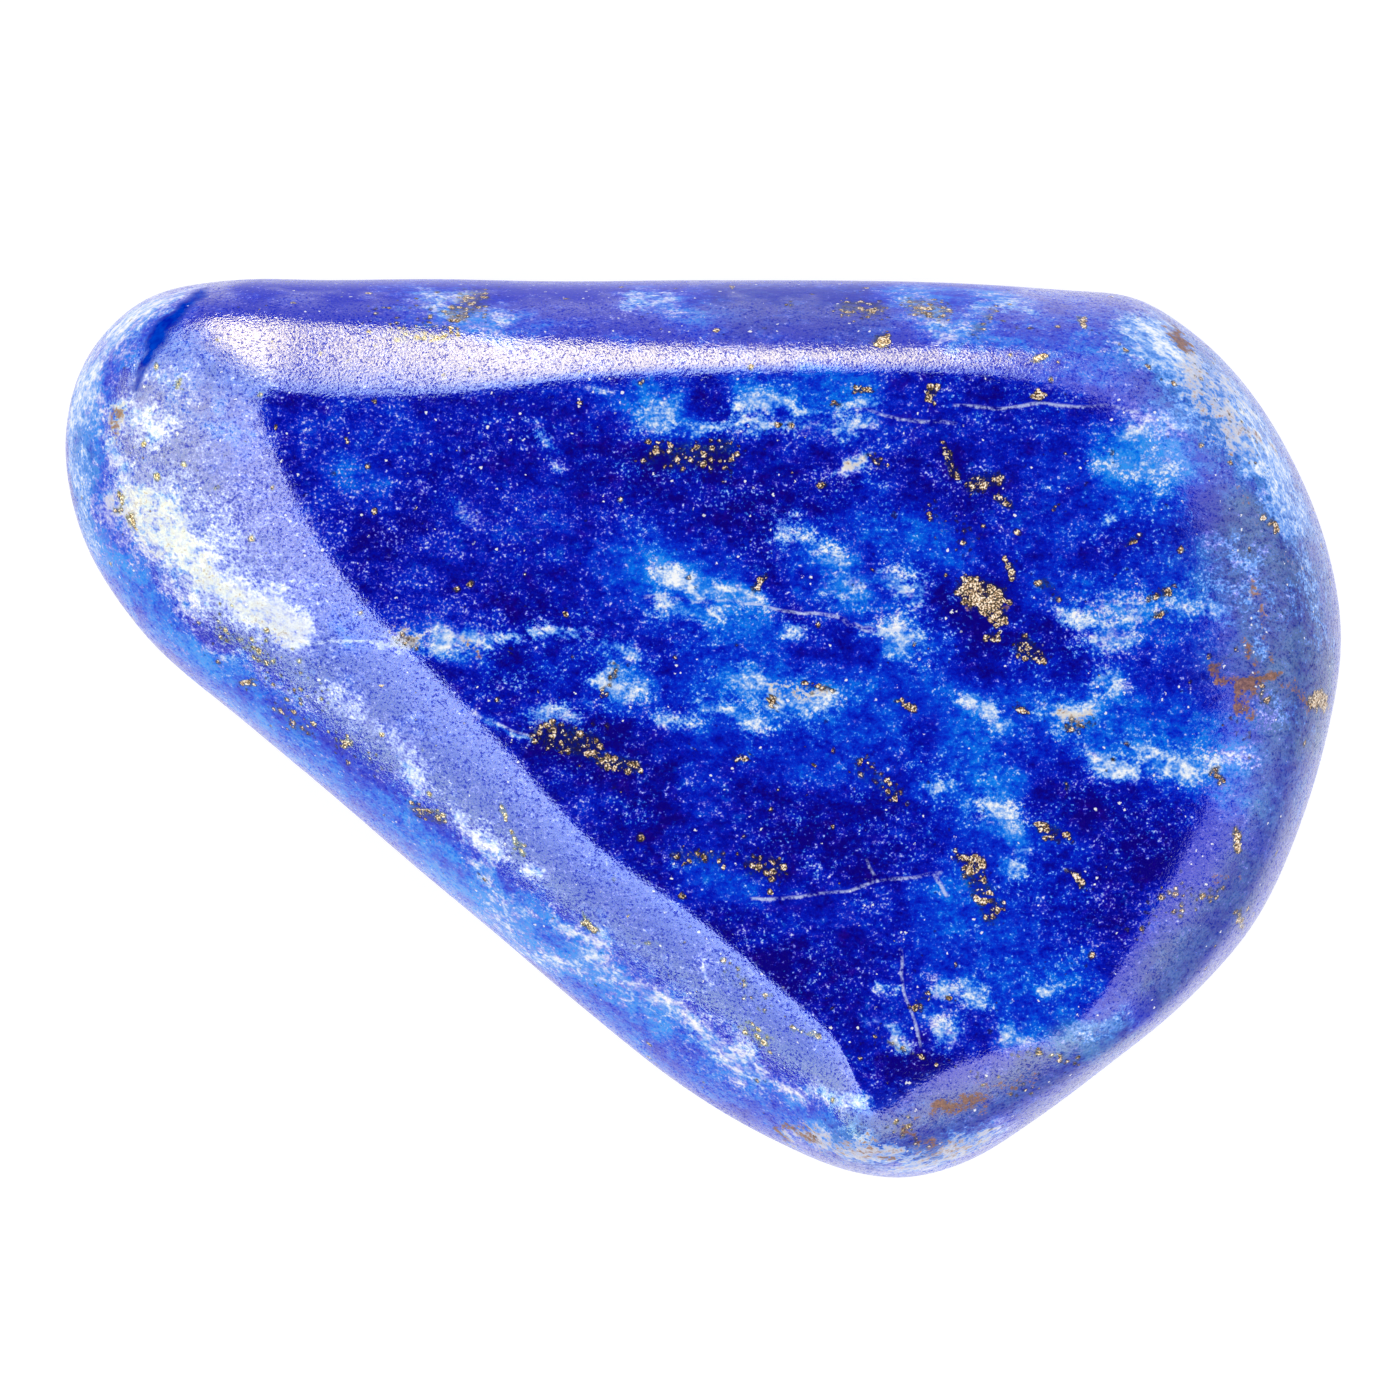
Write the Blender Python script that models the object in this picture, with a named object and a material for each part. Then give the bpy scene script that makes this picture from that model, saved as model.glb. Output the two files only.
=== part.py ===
"""A tumbled lapis lazuli about 32 mm long, as one solid that lies on the flat spot of its underside.

The stone is a sawn slab with a broad, nearly flat face on top, here called the table. All round the table a bevel
leads down over rounded sides to the stone's widest line, and below that the belly draws in to a small flat spot. The
origin is on the surface that the stone lies on, in the middle of its plan. +X runs along its length and +Z is up.
Sizes are in millimetres until the mesh is made.
"""

import math

import bmesh
import bpy
import numpy as np
from mathutils import Vector, noise

METRES = 0.001

# Driving heights above the flat spot, before it is worn, and the radius of the table's slight dome.
TABLE_HEIGHT = 11.95
TABLE_CENTRE = np.array((1.0, 1.2))
TABLE_DOME_RADIUS = 450
WIDEST_HEIGHT = 6.2

# The widest line is a little higher at this side of the stone and lower at the other.
WIDEST_TILT = 0.7
WIDEST_TILT_TOWARDS = math.radians(250)

# The flat spot is an oval: its half length, its half width, its middle and the bearing of its length.
SPOT_HALF_LENGTH = 6.8
SPOT_HALF_WIDTH = 5.0
SPOT_CENTRE = np.array((1.3, 1.9))
SPOT_BEARING = math.radians(165)

# The slope in degrees at which the belly leaves the flat spot, the rounding between them, the wear of the spot, and
# how softly the worn face ends.
BELLY_SLOPE = 13
SPOT_ROUNDING = 0.3
SPOT_WEAR = 0.16
SPOT_RIM = 0.06

# Stations round the stone, clockwise from the north-west as seen from above: a point on the widest line, the point
# of the table's edge that faces it, the slope in degrees at which the bevel leaves the table there, the share of the
# way out at which it has turned to 45 degrees, and how far the table's edge is rounded.
STATIONS = (
    # north side, sawn straight
    ((-9.4, 11.18), (-9.1, 8.32), 15, 0.64, 0.10),
    ((-6.3, 11.19), (-6.2, 8.38), 20, 0.56, 0.10),
    ((-3.4, 11.19), (-3.4, 8.70), 25, 0.40, 0.09),
    ((-0.2, 11.19), (-0.3, 8.92), 29, 0.26, 0.09),
    ((3.7, 11.20), (3.7, 8.96), 32, 0.18, 0.09),
    ((7.3, 11.13), (7.4, 8.88), 31, 0.19, 0.12),
    # north-east corner, a long soft round
    ((9.3, 10.99), (9.0, 8.68), 27, 0.23, 0.22),
    ((10.75, 10.84), (10.0, 8.44), 22, 0.29, 0.36),
    ((12.2, 9.95), (11.1, 7.93), 16, 0.38, 0.50),
    ((13.5, 8.65), (11.9, 7.20), 12, 0.48, 0.60),
    ((14.8, 6.55), (12.5, 5.90), 10, 0.54, 0.60),
    # east side
    ((15.6, 4.50), (12.9, 4.20), 9, 0.58, 0.60),
    ((15.95, 2.40), (13.1, 2.10), 9, 0.60, 0.60),
    ((15.6, -0.20), (13.0, -0.70), 10, 0.64, 0.50),
    ((14.8, -2.80), (12.2, -2.90), 13, 0.70, 0.30),
    # south-east side
    ((13.7, -5.00), (11.0, -5.00), 16, 0.74, 0.18),
    ((12.1, -6.80), (9.9, -6.75), 18, 0.74, 0.10),
    ((10.18, -8.36), (8.8, -7.66), 18, 0.70, 0.10),
    ((8.2, -9.87), (6.8, -8.25), 18, 0.66, 0.10),
    # southern tip
    ((6.6, -10.88), (5.4, -8.95), 18, 0.58, 0.10),
    ((4.9, -11.29), (4.55, -9.62), 17, 0.48, 0.10),
    ((3.6, -11.08), (4.10, -9.38), 5, 0.60, 0.10),
    # south-west side, sawn straight
    ((1.9, -10.36), (3.4, -8.00), 17, 0.42, 0.10),
    ((-0.6, -8.90), (1.9, -6.50), 16, 0.44, 0.10),
    ((-3.1, -6.95), (-0.3, -4.60), 16, 0.50, 0.10),
    ((-5.6, -4.85), (-2.6, -2.95), 16, 0.56, 0.10),
    ((-8.5, -2.40), (-4.9, -0.50), 15, 0.68, 0.10),
    ((-11.5, 0.15), (-6.8, 1.55), 13, 0.80, 0.10),
    # western end, a broad nose
    ((-14.12, 2.46), (-8.5, 3.30), 10, 0.84, 0.10),
    ((-15.64, 4.98), (-9.8, 5.30), 9, 0.85, 0.10),
    ((-15.98, 7.40), (-10.6, 7.10), 9, 0.82, 0.10),
    ((-15.42, 9.35), (-10.9, 8.00), 10, 0.80, 0.10),
    ((-14.1, 10.66), (-10.6, 8.35), 11, 0.78, 0.10),
    ((-11.7, 11.18), (-10.2, 8.38), 13, 0.72, 0.10),
)

# Flats ground on the belly: the way each faces, as a bearing from +X and a dip below the horizon in degrees, and how
# far its plane passes outside the widest line.
BELLY_FLATS = (
    (212, 46, 0.75),
    (128, 40, 0.7),
    (28, 43, 0.8),
    (312, 50, 0.9),
    (80, 50, 1.4),
)
FLAT_ROUNDING = 0.22

# Long, faint waves that tumbling leaves.
WAVE_HEIGHT = 0.08
WAVE_LENGTH = 4.5

# Rows of the mesh: distances from the table's edge, counted in its rounding, then shares of the way from there down
# to the widest line and of the way back in to the flat spot. The table and the flat spot are closed with square nets,
# a quarter of the columns each way. A net's first corner is at the column given, and it is evened out in steps.
AROUND = 120
ROWS_NEAR_EDGE = (-6.0, -2.5, -1.0, 0.0, 1.0, 2.5)
ROWS_DOWN = (0.12, 0.25, 0.38, 0.51, 0.63, 0.74, 0.83, 0.90, 0.955, 0.99, 1.0)
ROWS_BACK_IN = (0.99, 0.95, 0.88, 0.78, 0.66, 0.52, 0.38, 0.24, 0.11, 0.0)
NET_CORNER = 117
NET_SMOOTHINGS = 60

LAPIS_BLUE = (0.01, 0.03, 0.36, 1.0)
POLISHED = 0.18


def clear_scene():
    for obj in list(bpy.data.objects):
        bpy.data.objects.remove(obj, do_unlink=True)


def eased(distance, rounding):
    """0 well inside an edge and the distance itself well outside it, turning smoothly within the rounding."""
    return (distance + np.sqrt(distance**2 + 4 * rounding**2)) / 2


def smooth_loop(stations, count):
    """Evenly spaced points of a smooth closed curve through the stations, spaced by their first two columns."""
    ahead = np.roll(stations, -1, axis=0)
    gaps = np.linalg.norm((ahead - stations)[:, :2], axis=1)
    gaps_behind = np.roll(gaps, 1)[:, None]
    slopes = (ahead - stations) / gaps[:, None]
    slopes_behind = np.roll(slopes, 1, axis=0)
    tangents = (slopes_behind * gaps[:, None] + slopes * gaps_behind) / (gaps[:, None] + gaps_behind)
    starts = np.concatenate(([0.0], np.cumsum(gaps)))
    points = []
    for along in np.arange(count) * starts[-1] / count:
        i = int(np.searchsorted(starts, along, side="right")) - 1
        j = (i + 1) % len(stations)
        t = (along - starts[i]) / gaps[i]
        from_this = (1 + 2 * t) * (1 - t) ** 2 * stations[i] + t * (1 - t) ** 2 * gaps[i] * tangents[i]
        from_next = t**2 * (3 - 2 * t) * stations[j] - t**2 * (1 - t) * gaps[i] * tangents[j]
        points.append(from_this + from_next)
    return np.array(points)


def plan_row(centre, edge, widest, from_edge):
    """One closed row seen from above, at this distance outside an edge, or inside it towards the centre."""
    inward = np.linalg.norm(edge - centre, axis=1)
    outward = np.linalg.norm(widest - edge, axis=1)
    outside = edge + (widest - edge) * (from_edge / outward)[:, None]
    inside = edge + (centre - edge) * (-from_edge / inward)[:, None]
    return np.where((from_edge > 0)[:, None], outside, inside)


def arc_fall(width, fall, steepness, share):
    """How far an elliptical arc has fallen at a share of its width, if it starts this steep and ends upright."""
    start = 1 / (fall / (width * steepness) - 1)
    along = np.minimum(start + (1 - start) * share, 1)
    return fall * (1 - np.sqrt(1 - along**2) / np.sqrt(1 - start**2))


def bevel_fall(width, fall, slope, turn, share):
    """How far an upper side has fallen: a bevel that steepens evenly up to 45 degrees, then an arc."""
    start = np.tan(np.radians(slope))
    on_bevel = np.minimum(share, turn)
    bevel = width * (start * on_bevel + (1 - start) * on_bevel**2 / (2 * turn))
    bevel_width, arc_width = width * turn, width * (1 - turn)
    arc = fall - bevel_width * (1 + start) / 2
    return bevel + arc_fall(arc_width, arc, 1.0, np.maximum(share - turn, 0) / (1 - turn))


def way_out(edge, widest, rounding, from_edge):
    """The share of the way from an edge to the widest line, eased where the edge is rounded."""
    width = np.linalg.norm(widest - edge, axis=1)
    return eased(from_edge, rounding) / eased(width, rounding)


def widest_height(widest):
    bearing = np.arctan2(widest[:, 1], widest[:, 0])
    return WIDEST_HEIGHT + WIDEST_TILT * np.cos(bearing - WIDEST_TILT_TOWARDS)


def spot_edge_towards(widest):
    """The point of the flat spot's oval edge that faces each point of the widest line."""
    toward = widest - SPOT_CENTRE
    turn = np.arctan2(toward[:, 1], toward[:, 0]) - SPOT_BEARING
    along, across = np.cos(turn), np.sin(turn)
    reach = 1 / np.sqrt((along / SPOT_HALF_LENGTH) ** 2 + (across / SPOT_HALF_WIDTH) ** 2)
    return SPOT_CENTRE + toward * (reach / np.linalg.norm(toward, axis=1))[:, None]


def table_height(plan):
    """The height of the table's slight dome over points of the plan."""
    return TABLE_HEIGHT - ((plan - TABLE_CENTRE) ** 2).sum(axis=-1) / (2 * TABLE_DOME_RADIUS)


def upper_rows(widest, edge, slope, turn, rounding):
    """Rows from just inside the table's edge down to the widest line."""
    outward = np.linalg.norm(widest - edge, axis=1)
    distances = [near * rounding for near in ROWS_NEAR_EDGE]
    start = distances[-1]
    distances += [start + share * (outward - start) for share in ROWS_DOWN]
    fall = table_height(edge) - widest_height(widest)
    rows = []
    for from_edge in distances:
        plan = plan_row(TABLE_CENTRE, edge, widest, from_edge)
        before_fall = table_height(np.where((from_edge > 0)[:, None], edge, plan))
        share = way_out(edge, widest, rounding, from_edge)
        height = before_fall - bevel_fall(outward, fall, slope, turn, share)
        rows.append(np.column_stack((plan, height)))
    return rows


def lower_rows(widest):
    """Rows from just below the widest line in to the flat spot's edge, with the belly's flats ground."""
    edge = spot_edge_towards(widest)
    outward = np.linalg.norm(widest - edge, axis=1)
    rows = []
    for share in ROWS_BACK_IN:
        from_edge = share * outward
        eased_share = way_out(edge, widest, SPOT_ROUNDING, from_edge)
        height = arc_fall(outward, widest_height(widest), math.tan(math.radians(BELLY_SLOPE)), eased_share)
        rows.append(np.column_stack((plan_row(SPOT_CENTRE, edge, widest, from_edge), height)))
    widest_line = np.column_stack((widest, widest_height(widest)))
    return list(ground(np.array(rows), widest_line))


def ground(points, widest_line):
    """The points pressed back behind each flat of the belly."""
    for bearing, dip, clearance in BELLY_FLATS:
        bearing, dip = math.radians(bearing), math.radians(dip)
        facing = np.array((math.cos(bearing) * math.cos(dip), math.sin(bearing) * math.cos(dip), -math.sin(dip)))
        plane = (widest_line @ facing).max() + clearance
        pressed = eased(points @ facing - plane, FLAT_ROUNDING)
        points = points - pressed[..., None] * facing
    return points


def close_with_net(bm, ring):
    """Closes a ring of vertices with a square net of faces, evens it out, and returns the vertices inside it."""
    quarter = AROUND // 4
    before = set(bm.verts)
    opposite = [NET_CORNER + i for i in range(quarter)] + [NET_CORNER + 2 * quarter + i for i in range(quarter)]
    edges = [bm.edges.get((ring[i % AROUND], ring[(i + 1) % AROUND])) for i in opposite]
    bmesh.ops.grid_fill(bm, edges=edges)
    inside = [vert for vert in bm.verts if vert not in before]
    for _ in range(NET_SMOOTHINGS):
        bmesh.ops.smooth_vert(bm, verts=inside, factor=0.5, use_axis_x=True, use_axis_y=True)
    return inside


def tumble(bm):
    """Long faint waves over the whole stone, then the flat spot worn level."""
    bm.normal_update()
    moves = []
    for vert in bm.verts:
        wave = noise.noise(vert.co / (WAVE_LENGTH * METRES))
        moves.append(vert.normal * (wave * WAVE_HEIGHT * METRES))
    for vert, move in zip(bm.verts, moves):
        vert.co += move
        height = eased(vert.co.z / METRES - SPOT_WEAR, SPOT_RIM) - SPOT_RIM / 2
        vert.co.z = max(height, 0.0) * METRES


def stone_mesh():
    loop = smooth_loop(np.array([(*widest, *edge, *rest) for widest, edge, *rest in STATIONS], float), AROUND)
    widest, edge = loop[:, 0:2], loop[:, 2:4]
    slope, turn, rounding = loop[:, 4:7].T
    rows = np.array(upper_rows(widest, edge, slope, turn, rounding) + lower_rows(widest)) * METRES
    bm = bmesh.new()
    last_row = len(rows) - 1
    bmesh.ops.create_grid(bm, x_segments=AROUND, y_segments=last_row, size=1.0)
    placed = {}
    for vert in bm.verts:
        column = round((vert.co.x + 1) / 2 * AROUND)
        row = round((vert.co.y + 1) / 2 * last_row)
        vert.co = Vector(rows[row, column % AROUND])
        placed[row, column] = vert
    seam = {placed[row, AROUND]: placed[row, 0] for row in range(last_row + 1)}
    bmesh.ops.weld_verts(bm, targetmap=seam)
    for vert in close_with_net(bm, [placed[0, column] for column in range(AROUND)]):
        vert.co.z = table_height(np.array(vert.co.xy) / METRES) * METRES
    for vert in close_with_net(bm, [placed[last_row, column] for column in range(AROUND)]):
        vert.co.z = 0.0
    bmesh.ops.recalc_face_normals(bm, faces=bm.faces)
    tumble(bm)
    mesh = bpy.data.meshes.new("stone")
    bm.to_mesh(mesh)
    bm.free()
    mesh.shade_smooth()
    return mesh


def lapis_material():
    material = bpy.data.materials.new("lapis")
    material.use_nodes = True
    shader = material.node_tree.nodes["Principled BSDF"]
    shader.inputs["Base Color"].default_value = LAPIS_BLUE
    shader.inputs["Roughness"].default_value = POLISHED
    shader.inputs["Metallic"].default_value = 0.0
    return material


clear_scene()
stone = bpy.data.objects.new("stone", stone_mesh())
stone.data.materials.append(lapis_material())
bpy.context.scene.collection.objects.link(stone)
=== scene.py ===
import math

import bmesh
import bpy
import numpy as np
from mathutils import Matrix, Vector, noise


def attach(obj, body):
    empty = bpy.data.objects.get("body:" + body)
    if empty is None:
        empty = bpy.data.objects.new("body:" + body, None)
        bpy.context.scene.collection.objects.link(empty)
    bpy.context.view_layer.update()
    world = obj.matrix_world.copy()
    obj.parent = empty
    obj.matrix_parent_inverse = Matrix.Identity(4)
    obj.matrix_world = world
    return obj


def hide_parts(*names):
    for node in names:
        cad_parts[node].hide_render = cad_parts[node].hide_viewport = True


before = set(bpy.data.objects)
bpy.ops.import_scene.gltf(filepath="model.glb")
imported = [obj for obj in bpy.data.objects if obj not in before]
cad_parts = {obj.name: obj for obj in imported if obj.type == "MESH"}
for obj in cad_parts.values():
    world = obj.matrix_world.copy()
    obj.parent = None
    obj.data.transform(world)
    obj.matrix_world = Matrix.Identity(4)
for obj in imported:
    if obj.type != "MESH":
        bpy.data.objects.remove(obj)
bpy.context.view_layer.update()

scene = bpy.context.scene

# The stone.
# It is one lump of lapis lazuli: blue lazurite with white calcite clouds and veins and brassy pyrite grains in it. It
# was sawn flat above, ground on its sides and tumbled with ever finer grit, so every mineral is polished flush.

MM = 0.001
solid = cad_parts["stone"]
stone_mesh = solid.data.copy()
stone_mesh.name = "lapis_stone"
bm = bmesh.new()
bm.from_mesh(stone_mesh)
bmesh.ops.remove_doubles(bm, verts=bm.verts, dist=0.001 * MM)
bmesh.ops.join_triangles(bm, faces=bm.faces, angle_face_threshold=math.radians(40), angle_shape_threshold=math.radians(60))
bm.to_mesh(stone_mesh)
bm.free()
stone = bpy.data.objects.new("lapis_stone", stone_mesh)
scene.collection.objects.link(stone)

# The polished surface is the solid's, rounded between its faces.
rounding = stone.modifiers.new("rounding", "SUBSURF")
rounding.levels = rounding.render_levels = 2
rounded = stone.evaluated_get(bpy.context.evaluated_depsgraph_get())
fine_mesh = bpy.data.meshes.new_from_object(rounded)
stone.modifiers.clear()
stone.data = fine_mesh
fine_mesh.materials.clear()
fine_mesh.shade_smooth()

# Its markings. Places on its upper side are pixels of the photograph, 1400 wide, x to the right and y down. Widths and
# depths are in millimetres.
PIXELS_PER_MM = 40
MIDDLE_PIXEL = np.array((702.5, 727.5))
VIEW_DISTANCE = 1000
WIDEST_HEIGHT = 6.2

count = len(fine_mesh.vertices)
points = np.zeros(count * 3)
fine_mesh.vertices.foreach_get("co", points)
points = points.reshape(-1, 3) / MM
facing = np.zeros(count * 3)
fine_mesh.vertex_normals.foreach_get("vector", facing)
facing = facing.reshape(-1, 3)


def waver(length, height, seed):
    """A smooth random value at every point of the surface, about this high, that changes over this length."""
    offset = Vector((seed * 17.3, seed * 5.1, seed * 9.7))
    return np.array([noise.noise(Vector(p) / length + offset) for p in points]) * 2 * height


nearer = 1 + (points[:, 2] - WIDEST_HEIGHT) / VIEW_DISTANCE
seen = np.column_stack((points[:, 0], -points[:, 1])) * nearer[:, None] * PIXELS_PER_MM + MIDDLE_PIXEL
wander = np.column_stack((waver(1.1, 9, 1), waver(1.1, 7, 2))) + np.column_stack((waver(0.4, 5, 3), waver(0.4, 4, 4)))
upper_side = np.clip((facing[:, 2] + 0.05) / 0.25, 0, 1)
slope = np.degrees(np.arccos(np.clip(facing[:, 2], -1, 1)))
# How far each point has turned down onto the bevels, where the material paints sheen.
side = np.clip((slope - 4) / 8, 0, 1)


def from_stroke(x1, y1, x2, y2, places):
    """Distance in millimetres of every point from a stroke between two pixels."""
    start = np.array((x1, y1), float)
    along = np.array((x2, y2), float) - start
    share = np.clip((places - start) @ along / max(along @ along, 1e-9), 0, 1)
    return np.linalg.norm(places - start - share[:, None] * along, axis=1) / PIXELS_PER_MM


def marked(strokes, places, core=0.0):
    """The strongest mark at every point: full along its core, half gone at its half width and thinning outward."""
    field = np.zeros(count)
    for x1, y1, x2, y2, half_width, strength in strokes:
        away = np.maximum(from_stroke(x1, y1, x2, y2, places) / half_width - core, 0) / (1 - core)
        field = np.maximum(field, strength * np.exp(-0.7 * away * away))
    return field * upper_side


# White calcite: from, to, half width and strength.
CALCITE = (
    (740, 405, 785, 400, 0.22, 1.0), (785, 405, 825, 408, 0.12, 0.9), (845, 406, 870, 406, 0.14, 0.95),
    (735, 425, 865, 425, 0.30, 0.72), (650, 420, 672, 425, 0.35, 0.72), (845, 465, 868, 462, 0.24, 1.0),
    (793, 527, 797, 533, 0.38, 0.78), (822, 548, 838, 560, 0.28, 0.74), (658, 578, 692, 580, 0.30, 0.98),
    (692, 588, 757, 603, 0.20, 0.92), (655, 608, 718, 612, 0.22, 0.74), (895, 580, 912, 595, 0.28, 0.86),
    (832, 585, 862, 590, 0.32, 0.74), (772, 632, 800, 634, 0.20, 0.74), (893, 634, 905, 645, 0.30, 0.86),
    (735, 680, 815, 705, 0.38, 0.84), (705, 712, 765, 722, 0.20, 0.80), (652, 720, 690, 725, 0.14, 0.72),
    (388, 640, 410, 642, 0.18, 1.0), (430, 648, 475, 636, 0.26, 0.98), (480, 638, 520, 636, 0.12, 0.90),
    (535, 628, 575, 636, 0.12, 0.86), (608, 648, 640, 655, 0.24, 0.84), (610, 682, 636, 690, 0.28, 0.84),
    (475, 715, 530, 735, 0.10, 0.74), (548, 718, 572, 715, 0.24, 0.84), (968, 705, 992, 708, 0.24, 0.92),
    (996, 720, 1014, 720, 0.20, 0.88), (1052, 712, 1092, 718, 0.34, 0.88), (1100, 636, 1126, 640, 0.28, 0.92),
    (1105, 678, 1122, 688, 0.28, 0.96), (1058, 622, 1078, 626, 0.22, 0.78), (1100, 758, 1120, 772, 0.32, 0.94),
    (1128, 750, 1158, 750, 0.22, 0.86), (1160, 766, 1192, 768, 0.34, 0.96), (1195, 765, 1250, 760, 0.30, 0.70),
    (1130, 425, 1195, 420, 0.40, 0.78), (1115, 462, 1180, 474, 0.35, 0.60), (985, 808, 1020, 835, 0.36, 0.78), (930, 787, 960, 790, 0.18, 0.76),
    (1008, 862, 1022, 870, 0.24, 0.74), (950, 990, 978, 1000, 0.32, 0.78), (930, 1015, 948, 1038, 0.26, 0.88),
    (1042, 990, 1056, 990, 0.16, 0.84), (1005, 1030, 1028, 1040, 0.20, 0.80), (878, 1020, 898, 1045, 0.16, 0.82),
    (873, 990, 898, 990, 0.10, 0.76), (692, 425, 738, 428, 0.14, 0.68), (538, 430, 552, 445, 0.22, 0.62),
    (556, 466, 562, 470, 0.16, 0.68), (582, 387, 608, 387, 0.12, 0.68), (1102, 520, 1114, 520, 0.12, 0.72),
    (1100, 608, 1145, 612, 0.34, 0.70), (1178, 605, 1212, 618, 0.42, 0.70), (462, 508, 480, 522, 0.24, 0.60),
    # west bevel
    (118, 405, 128, 445, 0.30, 0.90), (122, 455, 132, 500, 0.45, 1.05), (138, 503, 168, 538, 0.84, 1.06),
    (168, 538, 211, 582, 0.82, 1.08), (211, 582, 264, 610, 0.64, 1.10), (264, 610, 297, 632, 0.38, 1.06),
    (165, 480, 240, 560, 0.80, 0.50), (72, 430, 80, 520, 0.20, 0.80), (95, 400, 100, 440, 0.25, 0.70),
    (75, 420, 95, 340, 0.38, 1.10), (95, 340, 150, 300, 0.45, 1.20), (150, 300, 200, 284, 0.20, 1.00),
    (138, 416, 160, 428, 0.36, 0.88), (150, 372, 188, 386, 0.36, 0.56),
    (80, 470, 100, 560, 0.25, 0.66),
    # south-west bevel
    (400, 765, 420, 795, 0.30, 0.78), (462, 822, 492, 845, 0.32, 0.94), (485, 850, 487, 882, 0.20, 0.86),
    (495, 900, 518, 935, 0.36, 0.74), (508, 948, 560, 960, 0.22, 0.90), (560, 960, 602, 962, 0.30, 0.92),
    (602, 962, 640, 988, 0.34, 0.94), (640, 988, 680, 1020, 0.34, 0.94), (680, 1020, 722, 1052, 0.34, 0.94),
    (722, 1052, 765, 1072, 0.36, 0.96), (765, 1072, 800, 1090, 0.34, 0.90), (800, 1090, 852, 1106, 0.26, 0.84),
    (527, 864, 540, 872, 0.18, 0.80), (553, 915, 572, 935, 0.24, 0.96), (575, 930, 592, 945, 0.24, 0.96),
    (705, 955, 718, 975, 0.10, 0.80), (330, 690, 420, 760, 0.25, 0.60), (200, 640, 300, 700, 0.22, 0.58),
    # north bevel
    (425, 300, 500, 325, 0.35, 0.66), (630, 298, 672, 300, 0.30, 0.72), (915, 310, 955, 335, 0.45, 0.68),
    (1128, 345, 1158, 365, 0.40, 0.74), (980, 300, 1020, 310, 0.3, 0.6),
    # north-east and east bevels
    (1150, 335, 1215, 395, 0.62, 1.10), (1215, 395, 1265, 455, 0.62, 1.15), (1265, 455, 1300, 530, 0.45, 0.95),
    (1300, 560, 1325, 640, 0.35, 0.62), (1240, 560, 1270, 650, 0.30, 0.58), (1185, 590, 1285, 602, 0.60, 0.46), (1205, 540, 1250, 546, 0.30, 0.46),
    (1240, 700, 1300, 720, 0.40, 0.44), (1180, 420, 1230, 440, 0.4, 0.72),
    # southern tip
    (800, 1135, 850, 1156, 0.34, 0.95), (850, 1156, 930, 1166, 0.42, 1.00), (930, 1162, 995, 1140, 0.40, 0.92), (1085, 1035, 1120, 1020, 0.25, 0.50),
)

# Paler, azure lazurite.
AZURE = (
    (750, 385, 850, 385, 0.5, 0.9), (650, 400, 690, 450, 0.7, 0.8), (880, 510, 930, 555, 0.9, 0.8),
    (640, 560, 740, 620, 0.9, 0.75), (1132, 458, 1185, 476, 0.8, 1.25), (1115, 495, 1155, 515, 0.6, 0.8),
    (1050, 600, 1210, 620, 1.0, 0.7), (960, 745, 1000, 780, 0.6, 1.0), (955, 910, 1095, 1035, 1.2, 0.8),
    (705, 875, 742, 890, 0.5, 0.6), (345, 465, 378, 495, 0.5, 0.7), (400, 450, 440, 540, 1.2, 0.20), (1040, 450, 1070, 520, 1.2, 0.25), (700, 680, 880, 720, 0.9, 0.8),
    (880, 690, 1000, 720, 0.8, 0.6), (1040, 690, 1250, 780, 1.2, 0.7), (430, 640, 640, 690, 0.6, 0.6),
    (940, 780, 1060, 880, 1.0, 0.7), (830, 560, 920, 650, 0.9, 0.6), (700, 740, 880, 770, 0.6, 0.5),
    (1180, 350, 1330, 560, 1.2, 0.8), (1250, 560, 1330, 740, 1.0, 0.6), (1180, 560, 1290, 640, 1.0, 0.6), (1172, 500, 1200, 600, 0.6, 0.5), (1280, 740, 1310, 820, 0.6, 0.5),
    (90, 380, 75, 520, 0.5, 1.0), (90, 540, 220, 690, 0.5, 1.2), (220, 680, 480, 900, 0.7, 1.2),
    (500, 900, 640, 1040, 0.9, 0.9), (640, 1040, 840, 1140, 0.5, 0.8), (575, 970, 640, 1030, 0.8, 1.0),
    (140, 330, 230, 420, 1.0, 0.6), (880, 1120, 960, 1150, 0.6, 0.4), (430, 290, 520, 330, 0.8, 0.6),
    (900, 295, 1100, 340, 1.0, 0.7), (620, 290, 690, 310, 0.6, 0.5),
)

# Darker, almost black blue.
NAVY = (
    (430, 297, 900, 300, 0.35, 0.6),
    (590, 700, 640, 790, 0.8, 0.9), (500, 670, 580, 680, 0.6, 0.8), (670, 445, 710, 465, 0.5, 1.0),
    (850, 490, 910, 495, 0.6, 0.6), (1060, 880, 1110, 900, 0.8, 0.9), (1050, 805, 1090, 815, 0.6, 0.8),
    (1125, 845, 1155, 865, 0.6, 0.9), (905, 1060, 940, 1075, 0.5, 0.9), (950, 480, 1010, 500, 0.7, 0.8),
    (740, 540, 790, 610, 0.6, 0.6), (920, 600, 1060, 660, 0.9, 0.7), (760, 820, 860, 860, 1.0, 0.6),
    (420, 540, 520, 590, 1.0, 0.4), (545, 740, 600, 765, 0.5, 1.0), (880, 785, 940, 830, 0.7, 0.6),
    (740, 940, 860, 1000, 0.8, 0.5), (640, 480, 760, 520, 1.0, 0.4),
)

# A groove that the polish didn't reach.
GROOVE = (
    (206, 290, 186, 306, 0.11, 0.9), (186, 306, 163, 328, 0.15, 1.1), (163, 328, 146, 362, 0.14, 1.1),
    (146, 362, 136, 390, 0.09, 0.9),
)

# The rim that the polish reached less.
MATT = ((245, 284, 500, 286, 0.36, 0.70), (500, 286, 1000, 290, 0.40, 0.65))

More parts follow.
